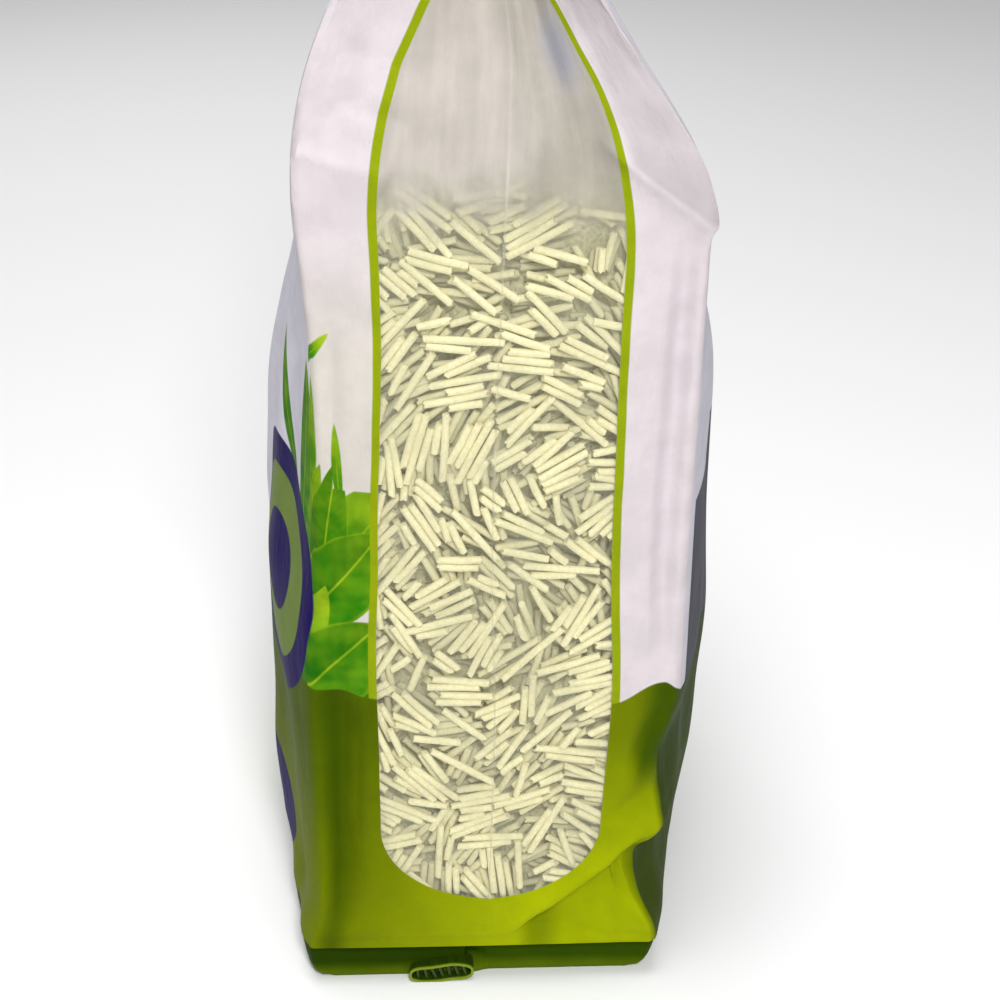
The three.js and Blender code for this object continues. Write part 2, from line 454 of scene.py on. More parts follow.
def write_film_map(piece, u, v):
    """Stores the unfolded film in millimetres, split at the far left fold."""
    mesh = piece.data
    rows, count = u.shape
    flat_u, flat_v = u.reshape(-1), v.reshape(-1)
    far_start = NEAR_COLUMNS + WIDE_COLUMNS
    split = far_start + FAR_COLUMNS
    seam_u = PANEL_DEPTH * 1.5 + PANEL_WIDTH
    layer = mesh.uv_layers.new(name="film")
    values = np.zeros((len(mesh.loops), 2))
    for polygon in mesh.polygons:
        corners = [(i, mesh.loops[i].vertex_index) for i in polygon.loop_indices]
        before_split = any(far_start < index % count < split for _, index in corners)
        for i, index in corners:
            if index >= rows * count:
                values[i] = (0, 2)
            else:
                at_seam = before_split and index % count == split
                values[i] = (seam_u if at_seam else flat_u[index], flat_v[index])
    layer.data.foreach_set("uv", values.reshape(-1))


def sum_of(operation):
    """A method that works out one operation on a value and those that it is given."""
    return lambda value, *others: value.recipe.math(operation, value, *others)


class Wire:
    """A value in a material's nodes: a sum written with it adds the nodes that work it out."""

    __add__, __sub__, __mul__ = sum_of("ADD"), sum_of("SUBTRACT"), sum_of("MULTIPLY")
    __truediv__, __pow__, __abs__ = sum_of("DIVIDE"), sum_of("POWER"), sum_of("ABSOLUTE")

    def __init__(self, recipe, socket):
        self.recipe, self.socket = recipe, socket

    def __rsub__(self, other):
        return self.recipe.math("SUBTRACT", other, self)


class Recipe:
    """Builds one material's nodes."""

    def __init__(self, name):
        self.material = bpy.data.materials.new(name)
        self.material.use_nodes = True
        self.tree = self.material.node_tree
        self.shader = self.tree.nodes["Principled BSDF"]

    def node(self, kind, inputs, output=0, **settings):
        """One output of a new node, whose inputs are fed by name or number."""
        node = self.tree.nodes.new(kind)
        for key, value in settings.items():
            setattr(node, key, value)
        for key, value in inputs.items():
            self.feed(node.inputs[key], value)
        return Wire(self, node.outputs[output])

    def feed(self, socket, value):
        if isinstance(value, Wire):
            self.tree.links.new(value.socket, socket)
        else:
            socket.default_value = value

    def math(self, operation, *values, clamp=False):
        return self.node("ShaderNodeMath", dict(enumerate(values)), operation=operation, use_clamp=clamp)

    def larger(self, a, b):
        return self.math("MAXIMUM", a, b)

    def clamped(self, value):
        return self.math("ADD", value, 0.0, clamp=True)

    def inside(self, distance, softness):
        """1 where the distance is below zero, with a soft edge."""
        return self.math("MULTIPLY_ADD", distance, -1 / softness, 0.5, clamp=True)

    def mapped(self, value, low, high, out_low=0.0, out_high=1.0):
        inputs = {"Value": value, "From Min": low, "From Max": high, "To Min": out_low, "To Max": out_high}
        return self.node("ShaderNodeMapRange", inputs, interpolation_type="SMOOTHSTEP")

    def blend(self, share, a, b, mode="MIX"):
        inputs = {"Factor": share, "A": a, "B": b}
        return self.node("ShaderNodeMix", inputs, "Result", data_type="RGBA", blend_type=mode)

    def darken(self, colour, share):
        return self.blend(1.0, colour, self.vector(share, share, share), "MULTIPLY")

    def noise(self, vector, scale, detail=3.0, roughness=0.5):
        inputs = {"Vector": vector, "Scale": scale, "Detail": detail, "Roughness": roughness}
        return self.node("ShaderNodeTexNoise", inputs, "Fac")

    def vector(self, *parts):
        return self.node("ShaderNodeCombineXYZ", dict(enumerate(parts)))

    def split(self, vector):
        first = self.node("ShaderNodeSeparateXYZ", {0: vector})
        return [Wire(self, socket) for socket in first.socket.node.outputs]

    def bump(self, height, strength, distance):
        inputs = {"Height": height, "Strength": strength, "Distance": distance}
        return self.node("ShaderNodeBump", inputs)

    def set(self, **values):
        names = {"color": "Base Color", "roughness": "Roughness", "specular": "Specular IOR Level",
                 "normal": "Normal", "alpha": "Alpha"}
        for key, value in values.items():
            self.feed(self.shader.inputs[names[key]], value)


def linear(r, g, b):
    """A colour given as 0 to 255 screen values, in the renderer's linear light."""
    def one(c):
        c = c / 255
        return c / 12.92 if c <= 0.04045 else ((c + 0.055) / 1.055) ** 2.4
    return (one(r), one(g), one(b), 1.0)


WHITE_FILM = linear(209, 200, 204)
WARM_WHITE = linear(203, 198, 180)
BACK_WHITE = linear(214, 211, 222)
BASE_BRIGHT = linear(160, 172, 4)
# Painted shade on the green print: the deep green and the flap green below; the lip green is painted light.
BASE_SHADE_GREEN = linear(48, 72, 0)
FLAP_SHADE_GREEN = linear(38, 60, 0)
LIT_LIP_GREEN = linear(118, 138, 8)
LINE_GREEN = linear(138, 154, 14)
SEAL_PURPLE = linear(32, 20, 86)
SEAL_GREEN = linear(112, 134, 60)
SLATE = linear(72, 72, 84)
LEAF_DARK = linear(22, 100, 6)
LEAF_MID = linear(66, 150, 14)
LEAF_LIGHT = linear(166, 190, 34)
EMPTY_WINDOW = linear(190, 183, 175)
EMPTY_SHADE = linear(170, 164, 153)
# Painted shadow seen through the empty film.
EMPTY_SHADOW_SPOT = linear(150, 152, 166)
MILK = linear(206, 204, 176)
PELLET_LIGHT = linear(247, 241, 200)
PELLET_DEEP = linear(230, 223, 176)
# Painted haze and shade of the deeper pellets.
PELLET_HAZE_AND_SHADE = linear(176, 174, 146)


# Leaves on the film: base, tip, half width, bow to one side, how yellow the tip and how light the green.
LEAVES = (
    # Grass blades round the corner.
    ((-68, 150), (-60.5, 217), 6.0, -0.03, 0.1, 0.6),
    ((-60.0, 150), (-55.6, 214), 3.4, 0.0, 0.5, 0.8),
    ((-72, 168), (-99, 212), 3.6, 0.12, 0.2, 0.5),
    ((-57.5, 216), (-48.6, 226), 1.7, 0.1, 1.0, 1.0),
    ((-45.8, 170), (-48.4, 200), 1.9, 0.04, 0.75, 0.9),
    # Broad leaves at the corner, behind the base band.
    ((-62, 128), (-53.2, 187), 4.5, 0.04, 0.5, 0.7),
    ((-58, 150), (-28, 183), 12.5, -0.14, 0.7, 0.9),
    ((-53, 130), (-47.5, 188), 7.5, 0.05, 0.15, 0.25),
    ((-62, 132), (-34.0, 166), 13.0, -0.04, 0.15, 0.5),
    ((-58, 116), (-51.0, 148), 5.0, 0.0, 0.85, 1.0),
    ((-58, 96), (-28.0, 120), 10.0, 0.0, 0.1, 0.5),
    ((-67, 99), (-33.5, 136), 14.0, 0.02, 0.1, 0.5),
)


def leaf(r, u, v, shape):
    """One leaf's cover and colour."""
    base, tip, half, bow, yellow, tone = shape
    length = math.dist(base, tip)
    along, across = line_place(u, v, base, tip)
    arch = along * (1.0 - along) * 4.0
    across = across - arch * (bow * length * 0.5)
    safe = r.larger(arch, 0.0)
    span = abs(across)
    distance = span - safe**0.8 * half
    cover = r.inside(distance + 0.2, 0.35) * r.inside(safe * -1, 0.004)
    slant = along * length - span * 1.1
    veins = r.math("SINE", slant * (2 * math.pi / max(half * 0.42, 1.2)))
    shade = r.inside(across, 0.5) * 0.35 + veins * 0.12 + span / half * 0.3
    shade = shade * (0.5 + tone / 2) + (tone * 0.5 - 0.15)
    colour = r.blend(r.clamped(shade), LEAF_DARK, LEAF_MID)
    rib = r.inside(span - 0.1 * math.sqrt(half), 0.5)
    edge = r.mapped(distance, -0.14 * half, 0.0)
    glow = r.larger(rib * 0.8, edge * (0.3 + 0.4 * tone))
    glow = r.larger(glow, r.mapped(along, 0.3, 0.95) * yellow)
    return cover, r.blend(glow, colour, LEAF_LIGHT)


def ring_distance(r, u, v, centre, radius, flatten):
    """Distance past an oval round the centre, which is wide where flatten is more than 1."""
    du, dv = u - centre[0], (v - centre[1]) * flatten
    return r.math("SQRT", du * du + dv * dv) - radius


def window_distance(r, u, v):
    """Signed distance to the window's edge: nearly straight sides, a long head and a flatter foot."""
    past = r.larger((v - WINDOW_HIGH) * WINDOW_STRETCH, (WINDOW_LOW - v) * WINDOW_FLATTEN)
    past = r.larger(past, 0.0)
    beside = r.mapped(abs(v - WINDOW_PULL_HEIGHT), 2.0, 30.0, WINDOW_PULL, 0.0)
    u = u + r.mapped(u, 10.0, 34.0) * beside
    reach = r.math("SQRT", u * u + past * past)
    return reach - r.mapped(v, 170.0, 250.0, WINDOW_HALF, WINDOW_TOP_HALF)


def window_faces(u, v):
    """Which faces of the near panel lie within the middle of the window's line, by ring and column."""
    u = (u[:-1, :NEAR_COLUMNS] + u[:-1, 1:NEAR_COLUMNS + 1]) / 2
    v = (v[:-1, :NEAR_COLUMNS] + v[1:, :NEAR_COLUMNS]) / 2
    past = np.maximum((v - WINDOW_HIGH) * WINDOW_STRETCH, (WINDOW_LOW - v) * WINDOW_FLATTEN)
    u = u + WINDOW_PULL * smooth_step(10, 34, u) * (1 - smooth_step(2, 30, np.abs(v - WINDOW_PULL_HEIGHT)))
    half = WINDOW_HALF + (WINDOW_TOP_HALF - WINDOW_HALF) * smooth_step(170, 250, v)
    return np.hypot(u, np.maximum(past, 0)) - half < 0.5


def film_recipe(name):
    """A recipe with the place on the film, in millimetres and in tenths of a metre, and soft noise."""
    r = Recipe(name)
    u, v, _ = r.split(r.node("ShaderNodeUVMap", {}, uv_map="film"))
    flat = r.vector(u * 0.01, v * 0.01)
    return r, u, v, flat, r.noise(flat, 3.0, 4.0)


def base_band(r, u, v, cloud):
    """The green base with its wavy top edge, with painted shade in its green: darkest at its top and beside
    the left corner fold.
    """
    left_rise = r.mapped(u, -70.0, -20.0, 4.5, 0.0) + r.mapped(u, -30.0, 0.0, 2.2, 0.0)
    right_rise = r.mapped(u, 35.0, 49.0, 0.0, 6.0) * r.mapped(u, 50.0, 57.0, 1.0, 0.2)
    band = r.inside(v - (left_rise + right_rise + BAND_TOP), 0.5)
    # Partly the print's own gradient and partly painted shade: the green runs darker towards the top and left
    # of the band, lighter at its foot.
    tone = r.mapped(u, -50.0, 24.0, 0.36, 1.0) * r.mapped(v, 20.0, 108.0, 1.06, 0.34)
    # Painted shade: a shadow under the puckers of the buckled right corner, and the green past the right fold
    # kept dark.
    corner = r.mapped(u, 40.0, 50.5) * r.mapped(v, 70.0, 86.0)
    tone = tone * (1.0 - r.larger(corner, r.mapped(u, 53.0, 56.0)) * 0.9)
    # Painted shade in the valley beside the left corner fold.
    tone = tone * r.mapped(abs(u + 48.0), 0.0, 7.0, 0.35, 1.0)
    # Painted shade under the diagonal fold of the buckled corner, with a darker wedge of painted shadow near
    # its lower end.
    _, below = line_place(u, v, FOLD_START, FOLD_END)
    facet = r.mapped(u, 8.0, 16.0) * r.mapped(u, 53.0, 56.0, 1.0, 0.0) * r.mapped(below, -0.4, 0.8)
    wedge = r.mapped(abs(u - 15.0), 3.0, 11.0, 0.3, 0.0)
    tone = r.clamped(tone - facet * (wedge + 0.2) + (cloud - 0.5) * 0.12)
    green = r.blend(tone, BASE_SHADE_GREEN, BASE_BRIGHT)
    # Painted shade on the flaps in the recess under the base crease, the left flap darker than the right,
    # with painted light where they come forward at their foot.
    flap = r.blend(r.mapped(u, FLAP_EDGE - 0.3, FLAP_EDGE + 0.3), FLAP_SHADE_GREEN, BASE_SHADE_GREEN)
    flap = r.blend(r.mapped(v + cloud * 4.0, 3.0, 9.0, 0.5, 0.0), flap, LIT_LIP_GREEN)
    return band, r.blend(r.inside(v - (BASE_CREASE - 0.4), 0.5), green, flap)


def film_finish(r, u, v, flat, band, colour):
    """What the whole film has: mottling, the painted shade of the slanting flank, painted shade on the panels
    past the near panel's right fold and fine wrinkles.
    """
    wrinkle = r.noise(r.vector(u * 0.03, v * 0.012), 4.0, 5.0, 0.55)
    height = wrinkle + r.noise(flat, 60.0, 2.0) * 0.05
    colour = r.darken(colour, r.mapped(r.noise(flat, 9.0, 4.0, 0.6), 0.3, 0.7, 0.93, 1.03))
    # Painted shade on the flank that slants back above the right shoulder's fold.
    above = v + u * FLANK_SLOPE - FLANK_FOLD
    flank = r.mapped(u, 32.0, 38.0) * r.mapped(above, -1.5, 2.0)
    beside = r.mapped(u, 32.0, 36.0) * r.mapped(above, -0.5, 1.5)
    flank = flank + beside * r.mapped(above, 1.0, 20.0, 0.8, 0.0)
    flank = flank * r.mapped(u, 54.5, 56.0, 1.0, 0.0)
    # Painted shade on the panels past the near panel's right fold, deeper on the green band.
    back = r.mapped(u, 55.0, 57.0) * (band * 0.26 + 0.14)
    colour = r.darken(colour, 1.0 - (flank * 0.17 + back))
    r.set(color=colour, roughness=0.5, specular=0.02, normal=r.bump(height, 0.42, 0.0018))


def window_line(r, u, v, band, green, colour):
    """The colour with the line round the window on it, which the band swallows, and the distance to it."""
    edge = window_distance(r, u, v)
    line = r.inside(abs(edge) - WINDOW_LINE / 2, 0.3)
    return r.blend(line, colour, r.blend(band, LINE_GREEN, green)), edge


def printed_film(settings):
    """The film outside the window's line, with all of its print."""
    r, u, v, flat, cloud = film_recipe("printed_film")

    # White film, cooler on the wide panels and warmer at the left, with a slate field on the back.
    colour = r.blend(r.mapped(abs(u), 55.0, 58.0), tuple(settings.film_colour), BACK_WHITE)
    warm = r.mapped(u, -36.0, -20.0, 0.6, 0.0) * r.mapped(abs(v - 190.0), 20.0, 75.0, 1.0, 0.0)
    colour = r.blend(warm * r.mapped(u, -56.0, -54.0), colour, WARM_WHITE)
    block = r.larger(abs(u - SLATE_CENTRE[0]) - SLATE_HALF[0], abs(v - SLATE_CENTRE[1]) - SLATE_HALF[1])
    colour = r.blend(r.inside(block, 0.6), colour, SLATE)
    band, green = base_band(r, u, v, cloud)

    # Leaves and grass behind the band, then the round seal and a plain label field on the front panel.
    head = r.inside(r.math("MINIMUM", v - 179.0, u + 49.0), 0.4)
    blotch = r.mapped(r.noise(flat, 13.0, 2.0, 0.45), 0.28, 0.72)
    for shape in LEAVES:
        cover, paint = leaf(r, u, v, shape)
        paint = r.blend((1.0 - blotch) * 0.45, paint, LEAF_DARK)
        paint = r.blend(blotch * 0.16, paint, LEAF_LIGHT)
        if shape[2] > 5.0:
            cover = cover * head
        colour = r.blend(cover, colour, paint)
    colour = r.blend(band, colour, green)
    for radius, paint in ((38.0, SEAL_PURPLE), (28.5, SEAL_GREEN), (15.0, SEAL_PURPLE)):
        colour = r.blend(r.inside(ring_distance(r, u, v, SEAL_CENTRE, radius, 0.93), 0.5), colour, paint)
    label = ring_distance(r, u, v, LABEL_CENTRE, LABEL_RADIUS, 1.15)
    colour = r.blend(r.inside(label, 0.6), colour, SEAL_PURPLE)
    colour, _ = window_line(r, u, v, band, green, colour)
    film_finish(r, u, v, flat, band, colour)
    return r.material


def window_film(settings):
    """The clear film inside the window's line."""
    r, u, v, flat, cloud = film_recipe("window_film")
    band, green = base_band(r, u, v, cloud)
    colour = r.blend(band, tuple(settings.film_colour), green)
    colour, edge = window_line(r, u, v, band, green, colour)
    clear = r.inside(edge + WINDOW_LINE * 0.4, 0.15)

    # The clear film is milky: it hides what doesn't touch it, so it looks closed above the pellets.
    closed = r.mapped(v + (r.noise(flat, 12.0, 3.0) - 0.5) * 18.0, 246.0, 275.0)
    milk = r.mapped(r.noise(flat, 5.0, 2.0), 0.35, 0.7, 0.75, 1.5) * settings.window_haze
    milk = closed * (0.93 - milk) + milk
    milk = r.clamped(milk + r.inside(abs(u) - 0.25, 0.6) * 0.22)
    # Painted shade: the empty film above the pellets darkens to the right, with a painted shadow spot on it.
    dim = r.mapped(u + (cloud - 0.5) * 40.0, -14.0, 24.0)
    empty = r.blend(dim, EMPTY_WINDOW, EMPTY_SHADE)
    shadow_spot = ring_distance(r, u + (cloud - 0.5) * 12.0, v, (20.0, 303.0), 2.0, 0.6)
    empty = r.blend(r.mapped(shadow_spot, -1.0, 8.0, 0.75, 0.0), empty, EMPTY_SHADOW_SPOT)
    streak = r.noise(r.vector(u * 0.055, v * 0.006), 3.0)
    empty = r.darken(empty, r.mapped(streak, 0.3, 0.7, 0.92, 1.08))
    colour = r.blend(clear, colour, r.blend(closed, MILK, empty))
    film_finish(r, u, v, flat, band, colour)
    r.set(alpha=1.0 - clear * (1.0 - milk))
    return r.material


def pellet_material(name, light, deep):
    r = Recipe(name)
    place = r.node("ShaderNodeTexCoord", {}, "Object")
    fibre = r.noise(place, 900.0, 4.0, 0.65)
    colour = r.blend(r.mapped(fibre, 0.3, 0.75), light, deep)
    colour = r.blend(r.mapped(r.noise(place, 160.0, 2.0), 0.4, 0.75) * 0.35, colour, deep)
    # Pellets further from the film are painted greyer and darker: partly the film's haze, partly painted
    # shade of the deeper pellets.
    depth = r.node("ShaderNodeAttribute", {}, "Fac", attribute_name="depth")
    colour = r.blend(r.mapped(depth, 1.6, 6.5, 0.0, 0.7), colour, PELLET_HAZE_AND_SHADE)
    r.set(color=colour, roughness=0.85, specular=0.15, normal=r.bump(fibre, 0.4, 0.0003))
    return r.material


def bulk_piece(points):
    """The rest of the pellets as one lump behind those that show: rings drawn in from the film."""
    z_rows = row_heights()
    heights = np.concatenate([[2.5, 6, 12, 17], np.arange(24, 252, 8.0), [256, 261, 264]])
    rings_in = []
    for k, z in enumerate(heights):
        row = int(np.argmin(np.abs(z_rows - z)))
        ring = points[row, ::4].copy()
        middle = ring.mean(axis=0)
        share = 1 - 8.5 / np.maximum(np.linalg.norm(ring[:, :2] - middle[:2], axis=1), 20)
        share = share * (1, 0.97, 0.8)[max(0, k - len(heights) + 3)]
        ring[:, :2] = middle[:2] + (ring[:, :2] - middle[:2]) * share[:, None]
        ring[:, 2] = max(z, 1.5)
        rings_in.append(ring)
    count = len(rings_in[0])
    vertices = np.vstack(rings_in)
    faces = [tuple(range(count))[::-1], tuple(range(len(vertices) - count, len(vertices)))]
    faces += ring_faces(len(rings_in), count)
    return add_mesh("pellet_bulk", vertices * MM, faces)


def fin_end(name, middle, side):
    """The flattened end of the folded bottom seal: a ribbed mouth, open to its own side of the bag."""
    bpy.ops.object.select_all(action="DESELECT")
    bpy.ops.mesh.primitive_circle_add(vertices=64, radius=1.0, fill_type="NOTHING")
    fin = bpy.context.object
    fin.name = name
    for vertex in fin.data.vertices:
        angle = math.atan2(vertex.co.y, vertex.co.x)
        cx, cy = math.cos(angle), math.sin(angle)
        along = math.copysign(abs(cx) ** 0.55, cx) * FIN_WIDTH / 2
        lift = math.copysign(abs(cy) ** 0.75, cy) * FIN_HEIGHT / 2
        lift += 0.25 * math.sin(along * 0.5) + FIN_TILT * along + FIN_LIFT
        vertex.co = Vector((along, 0, max(lift + FIN_HEIGHT / 2, 0.05))) * MM
    bpy.ops.object.mode_set(mode="EDIT")
    bpy.ops.mesh.select_all(action="SELECT")
    bpy.ops.mesh.extrude_region_move(TRANSFORM_OT_translate={"value": (0, -side * FIN_REACH * MM, 0)})
    bpy.ops.object.mode_set(mode="OBJECT")
    solid = fin.modifiers.new("wall", "SOLIDIFY")
    solid.thickness = FIN_WALL * MM
    solid.offset = 0
    bpy.ops.object.modifier_apply(modifier="wall")
    rng = np.random.default_rng(3)
    for place in np.linspace(-7.6, 7.6, FIN_RIBS).tolist():
        centre = Vector((place, -side * FIN_REACH * 0.42, FIN_HEIGHT / 2 + FIN_TILT * place + FIN_LIFT)) * MM
        bpy.ops.mesh.primitive_cube_add(size=1.0, location=centre)
        rib = bpy.context.object
        bpy.ops.object.mode_set(mode="EDIT")
        bpy.ops.transform.resize(value=(0.9 * MM, FIN_REACH * 0.8 * MM, (FIN_HEIGHT - 1.4) * MM))
        bpy.ops.transform.rotate(value=float(rng.uniform(0.1, 0.4)), orient_axis="Y",
                                 center_override=(place * MM, 0, FIN_HEIGHT / 2 * MM))
        bpy.ops.object.mode_set(mode="OBJECT")
        select_only(fin)
        rib.select_set(True)
        bpy.ops.object.join()
    bpy.ops.object.mode_set(mode="EDIT")
    bpy.ops.mesh.select_all(action="SELECT")
    bpy.ops.mesh.normals_make_consistent(inside=False)
    bpy.ops.object.mode_set(mode="OBJECT")
    for vertex in fin.data.vertices:
        vertex.co += Vector(middle) * MM
        vertex.co.z = max(vertex.co.z, 0)
    return fin


def fin_material():
    r = Recipe("sealed_film_edge")
    x, y, z = r.split(r.node("ShaderNodeTexCoord", {}, "Object"))
    stripes = r.noise(r.vector(x * 900.0, y * 60.0, z * 120.0), 1.0, 2.0)
    # Painted shade in the seal end's mouth, with a painted highlight along its outer lip.
    colour = r.blend(r.mapped(stripes, 0.35, 0.7), FLAP_SHADE_GREEN, BASE_SHADE_GREEN)
    colour = r.blend(r.mapped(abs(y), 0.0938, 0.0944), colour, LIT_LIP_GREEN)
    r.set(color=colour, roughness=0.45, specular=0.35, normal=r.bump(stripes, 0.3, 0.0004))
    return r.material


def panel_point(points, z_rows, u, z):
    """The point of the near panel's film at u across it and z up it."""
    column = (u / (PANEL_DEPTH / 2) + 1) / 2 * NEAR_COLUMNS
    row = np.interp(z, z_rows, np.arange(len(z_rows)))
    c, s = int(np.clip(column, 0, NEAR_COLUMNS - 1)), int(np.clip(row, 0, len(z_rows) - 2))
    fc, fs = column - c, row - s
    low, high = points[s:s + 2, c] * (1 - fc) + points[s:s + 2, c + 1] * fc
    return low * (1 - fs) + high * fs


class PelletBed:
    """Pellets dropped one after another onto the inside of the clear panel, as if it lay flat."""

    CELL = 0.45
    BORDER = 45

    def __init__(self, settings, low, high, half):
        self.rng = np.random.default_rng(settings.seed)
        self.radius = settings.pellet_diameter / MM / 2
        self.low, self.high, self.half = low, high, half
        rows, columns = int((high - low) / self.CELL), int(2 * half / self.CELL)
        self.shape = (rows + 2 * self.BORDER, columns + 2 * self.BORDER)
        self.ground = np.zeros(self.shape)
        self.placed = []

    def cell(self, u, v):
        return (v - self.low) / self.CELL + self.BORDER, (u + self.half) / self.CELL + self.BORDER

    def support(self, u, v, angle, length):
        """Height of the pellet's middle and its slope, where it comes to rest on what lies below."""
        t = np.linspace(-0.5, 0.5, 13) * length
        us, vs = u + t * math.cos(angle), v + t * math.sin(angle)
        side = (-math.sin(angle) * self.radius * 0.55, math.cos(angle) * self.radius * 0.55)
        top = np.full(len(t), -1.0)
        for k in (-1, 0, 1):
            rows, columns = self.cell(us + k * side[0], vs + k * side[1])
            rows = np.clip(rows.astype(int), 0, self.shape[0] - 1)
            columns = np.clip(columns.astype(int), 0, self.shape[1] - 1)
            top = np.maximum(top, self.ground[rows, columns])
        best, slope = top[len(t) // 2], 0.0
        left, right = t < 0, t > 0
        tl, hl, tr, hr = t[left][:, None], top[left][:, None], t[right][None, :], top[right][None, :]
        rise = (hr - hl) / (tr - tl)
        middle = hl - rise * tl
        i, j = np.unravel_index(np.argmax(middle), middle.shape)
        if middle[i, j] > best:
            best, slope = middle[i, j], rise[i, j]
        return best, slope

    def put(self, u, v, angle, length, height, slope):
        """Adds a pellet and raises the ground where it lies."""
        r = self.radius
        reach = length / 2 + r
        row, column = self.cell(u, v)
        size = int(reach / self.CELL) + 2
        r0, r1 = max(int(row) - size, 0), min(int(row) + size, self.shape[0])
        c0, c1 = max(int(column) - size, 0), min(int(column) + size, self.shape[1])
        vs = (np.arange(r0, r1) - self.BORDER) * self.CELL + self.low - v
        us = (np.arange(c0, c1) - self.BORDER) * self.CELL - self.half - u
        gu, gv = np.meshgrid(us, vs)
        t = gu * math.cos(angle) + gv * math.sin(angle)
        w = -gu * math.sin(angle) + gv * math.cos(angle)
        on = (np.abs(t) < length / 2) & (np.abs(w) < r)
        level = height + r + slope * t + np.sqrt(np.maximum(r * r - w * w, 0))
        patch = self.ground[r0:r1, c0:c1]
        patch[on] = np.maximum(patch[on], level[on])
        self.placed.append((u, v, angle, length, height + r, slope))

    def lean(self, u, v):
        """The way pellets lie at a place: patches that each have their own direction."""
        a = math.sin(u * 0.071 + 1.3) + math.sin(v * 0.043 + 0.4) + math.sin((u + v) * 0.037 + 2.0)
        b = math.sin(u * 0.053 - v * 0.031 + 4.1) + math.sin(v * 0.089 + u * 0.02)
        return 0.55 + 0.75 * a + 0.45 * b

    def shows(self, u, v):
        """Whether a pellet's middle lies behind the window and below the ragged top of the fill."""
        top = self.high - 10 + 9.0 * math.cos(u * 0.05 + 0.2) + 1.5 * math.sin(u * 0.31)
        foot = max((WINDOW_LOW - v) * WINDOW_FLATTEN, 0.0)
        return v < top and math.hypot(u, foot) < WINDOW_HALF + 1.5

    def fill(self, count, deepest):
        """Drops pellets, often beside the last one, each to the lowest of a few places tried."""
        rng = self.rng
        last = None
        for _ in range(count):
            options = []
            for k in range(15):
                if last is not None and k < 8:
                    gap = 2 * self.radius * rng.choice([-1, 1]) * rng.uniform(1.0, 1.06)
                    slip = rng.normal(0, 2.2)
                    u = last[0] - math.sin(last[2]) * gap + math.cos(last[2]) * slip
                    v = last[1] + math.cos(last[2]) * gap + math.sin(last[2]) * slip
                    angle = last[2] + rng.normal(0, 0.09)
                else:
                    u = rng.uniform(-self.half, self.half)
                    v = rng.uniform(self.low, self.high)
                    angle = self.lean(u, v) + rng.normal(0, 0.45)
                length = float(np.clip(rng.normal(14.5, 4.2), 6.5, 24))
                if not self.shows(u, v):
                    continue
                height, slope = self.support(u, v, angle, length)
                if height < 0 or abs(slope) > 0.6:
                    continue
                options.append((height + 0.6 * abs(slope) * length, u, v, angle, length, height, slope))
            last = None
            if options:
                _, u, v, angle, length, height, slope = min(options)
                if height <= deepest:
                    self.put(u, v, angle, length, height, slope)
                    last = (u, v, angle) if rng.random() < 0.84 else None


def pellet_models(settings):
    """A few different pellets: bent, slightly uneven rods with broken ends."""
    models = []
    rng = np.random.default_rng(settings.seed + 5)
    for _ in range(6):
        bpy.ops.object.select_all(action="DESELECT")
        bpy.ops.mesh.primitive_cylinder_add(vertices=10, radius=settings.pellet_diameter / 2, depth=1.0)
        rod = bpy.context.object
        bpy.ops.object.mode_set(mode="EDIT")
        bpy.ops.mesh.select_all(action="SELECT")
        bpy.ops.mesh.bisect(plane_co=(0, 0, 0), plane_no=(0, 0, 1))
        bpy.ops.object.mode_set(mode="OBJECT")
        bend = rng.uniform(0.0, 0.09, 2) * settings.pellet_diameter
        for vertex in rod.data.vertices:
            end = abs(vertex.co.z) > 0.4
            narrow = rng.normal(0.93, 0.03) if end else 1.0
            vertex.co.x *= narrow
            vertex.co.y *= narrow
            if not end:
                vertex.co.x += bend[0]
                vertex.co.y += bend[1]
        corners = np.array([tuple(vertex.co) for vertex in rod.data.vertices])
        faces = [tuple(polygon.vertices) for polygon in rod.data.polygons]
        models.append((corners, faces))
        mesh = rod.data
        bpy.data.objects.remove(rod)
        bpy.data.meshes.remove(mesh)
    return models


def pellet_piece(name, bed, points, settings):
    """One mesh of all placed pellets, whose ends lie behind the film at their own places."""
    models, z_rows = pellet_models(settings), row_heights()
    rng = np.random.default_rng(settings.seed + 9)
    vertices, faces, depths, start = [], [], [], 0
    for u, v, angle, length, depth, slope in bed.placed:
        corners, sides = models[rng.integers(len(models))]
        half = length / 2
        run_u, run_v = math.cos(angle) * half, math.sin(angle) * half
        a, b = (
            (panel_point(points, z_rows, u + sign * run_u, v + sign * run_v)
             + [0, depth + sign * slope * half + FILM_GAP, 0]) * MM
            for sign in (-1, 1)
        )
        axis = b - a
        long = np.linalg.norm(axis)
        axis = axis / long
        side = np.cross(axis, [0.3, 1.0, 0.2])
        side /= np.linalg.norm(side)
        third = np.cross(axis, side)
        turn = rng.uniform(0, 2 * math.pi)
        cos, sin = math.cos(turn), math.sin(turn)
        side, third = side * cos + third * sin, third * cos - side * sin
        stretch = corners[:, 2] * long
        end = np.abs(corners[:, 2]) > 0.4
        stretch = stretch + np.where(end, rng.normal(0, 0.28 * MM, len(stretch)), 0)
        placed = (a + b) / 2 + corners[:, :1] * side + corners[:, 1:2] * third + stretch[:, None] * axis
        vertices.append(placed)
        depths.append(depth + slope * corners[:, 2] * length)
        faces.extend(tuple(i + start for i in face) for face in sides)
        start += len(placed)
    piece = add_mesh(name, np.vstack(vertices), faces)
    layer = piece.data.attributes.new("depth", "FLOAT", "POINT")
    layer.data.foreach_set("value", np.concatenate(depths))
    return piece


